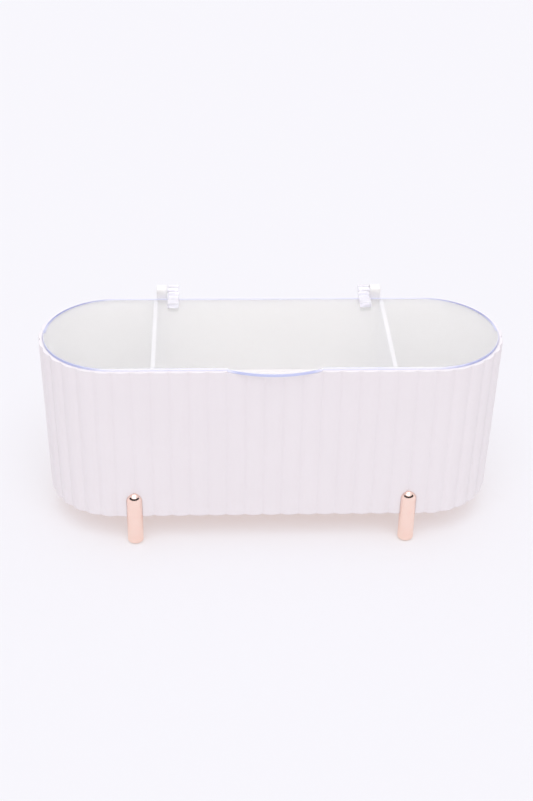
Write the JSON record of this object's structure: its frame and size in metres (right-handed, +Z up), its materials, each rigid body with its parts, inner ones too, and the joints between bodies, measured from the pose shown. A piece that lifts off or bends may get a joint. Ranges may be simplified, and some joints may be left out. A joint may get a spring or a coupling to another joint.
{
  "type": "lidded vanity box on legs",
  "caption": "Fluted white trinket box with round ends, inner partitions, a clear hinged lid with a finger tab, and slim plated legs.",
  "frame": {"origin": "middle of the tub in plan, on the surface that the legs stand on", "axes": "+Z up, +X along the box, the finger tab towards -Y and the hinges towards +Y"},
  "size_m": [0.2002, 0.0721, 0.0933],
  "materials": {
    "tub_plastic": "white moulded ABS, satin",
    "partition_plastic": "white moulded polystyrene sheet, satin",
    "lid_plastic": "clear acrylic sheet with a fine satin haze, and a blue tint at its cut edges",
    "rose_gold": "rose gold electroplate, bright",
    "pin_steel": "bright drawn stainless wire",
    "screw_steel": "zinc plated",
    "pad_silicone": "translucent white silicone, matt"
  },
  "bodies": {
    "tub": {"body_shell": "tub_plastic", "partition_left": "partition_plastic", "partition_right": "partition_plastic", "hinge_pin_left": "pin_steel", "hinge_pin_right": "pin_steel", "leg_front_left": "rose_gold", "leg_front_right": "rose_gold", "leg_back_left": "rose_gold", "leg_back_right": "rose_gold", "leg_screw_front_left": "screw_steel", "leg_screw_front_right": "screw_steel", "leg_screw_back_left": "screw_steel", "leg_screw_back_right": "screw_steel", "foot_pad_front_left": "pad_silicone", "foot_pad_front_right": "pad_silicone", "foot_pad_back_left": "pad_silicone", "foot_pad_back_right": "pad_silicone"},
    "lid": {"lid_panel": "lid_plastic", "hinge_arm_left": "lid_plastic", "hinge_arm_right": "lid_plastic"}
  },
  "joints": [
    {"name": "lid_hinge", "type": "hinge", "parent": "tub", "child": "lid", "pos_m": [0, 0.034, 0.0907], "axis": [-1, 0, 0], "range_deg": [0, 105]}
  ]
}
